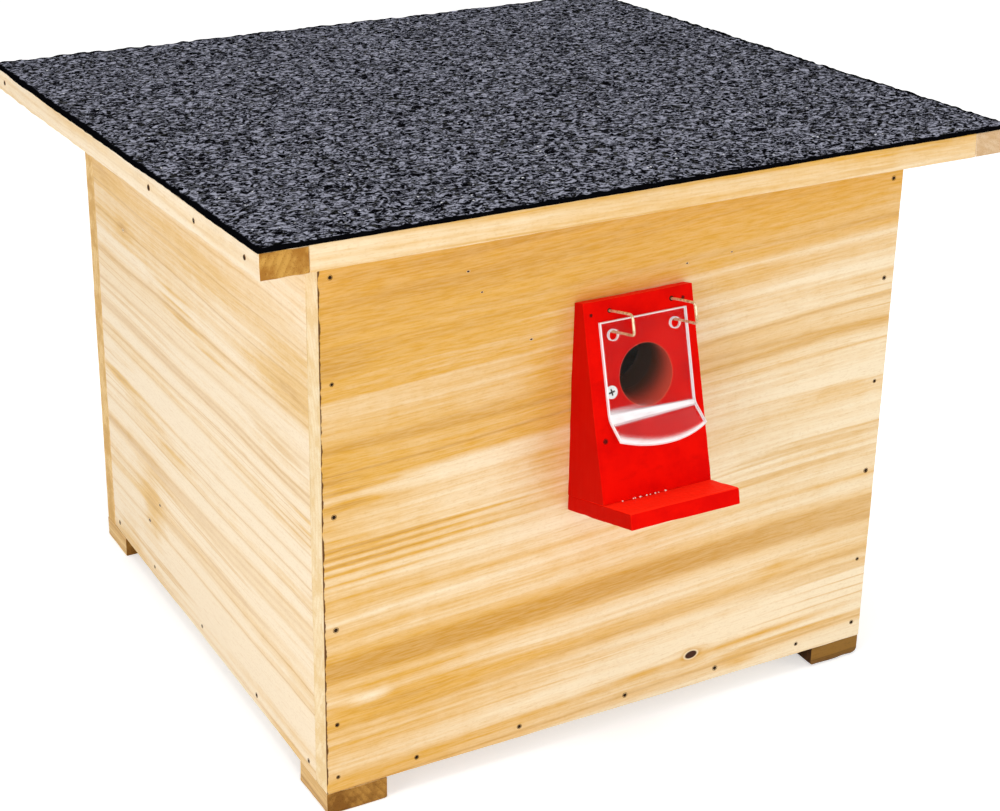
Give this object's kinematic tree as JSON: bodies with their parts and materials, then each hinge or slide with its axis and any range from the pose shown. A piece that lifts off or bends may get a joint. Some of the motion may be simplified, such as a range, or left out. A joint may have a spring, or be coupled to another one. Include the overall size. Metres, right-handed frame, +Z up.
{
  "type": "bumblebee nest box",
  "caption": "Square wooden bumblebee nest box on feet, with a felted lift-off lid, red entrance block, landing board and clear swinging flap.",
  "frame": {"origin": "on the floor, in the middle of the overall footprint", "axes": "+X along the front, to the right for someone facing it; +Y from the front to the back; +Z up"},
  "size_m": [0.498, 0.51, 0.3819],
  "materials": {
    "pine_front": "sawn softwood, unpainted, horizontal grain",
    "pine_side": "sawn softwood, unpainted, horizontal grain",
    "pine_floor": "sawn softwood, unpainted",
    "pine_foot": "brown end grain softwood",
    "pine_lid": "sawn softwood, unpainted, brown end grain",
    "felt": "mineral granules on bitumen felt, cut black edge",
    "red_paint": "softwood in semi-gloss red paint",
    "clear_acrylic": "clear sheet with bright cut edges",
    "wire": "thin bright wire",
    "zinc": "bright zinc, cross recess",
    "nail_steel": "dark steel"
  },
  "bodies": {
    "box": {"front_board": "pine_front", "back_board": "pine_front", "left_wall": "pine_side", "right_wall": "pine_side", "floor_board": "pine_floor", "front_left_foot": "pine_foot", "front_right_foot": "pine_foot", "back_left_foot": "pine_foot", "back_right_foot": "pine_foot", "entrance_block": "red_paint", "landing_board": "red_paint", "left_hook": "wire", "right_hook": "wire", "block_screw": "zinc", "front_nails": "nail_steel", "back_nails": "nail_steel", "left_wall_nails": "nail_steel", "right_wall_nails": "nail_steel", "block_nails": "nail_steel"},
    "lid": {"lid_board": "pine_lid", "left_lid_batten": "pine_lid", "right_lid_batten": "pine_lid", "roofing_felt": "felt", "left_batten_nails": "nail_steel", "right_batten_nails": "nail_steel"},
    "flap": {"entrance_flap": "clear_acrylic"}
  },
  "joints": [
    {"name": "flap_hinge", "type": "hinge", "parent": "box", "child": "flap", "pos_m": [0.001, -0.1969, 0.29296], "axis": [-1, 0, 0], "range_deg": [0, 40]},
    {"name": "lid_lift", "type": "slide", "parent": "box", "child": "lid", "axis": [0, 0, 1], "range_m": [0, 0.2]}
  ]
}
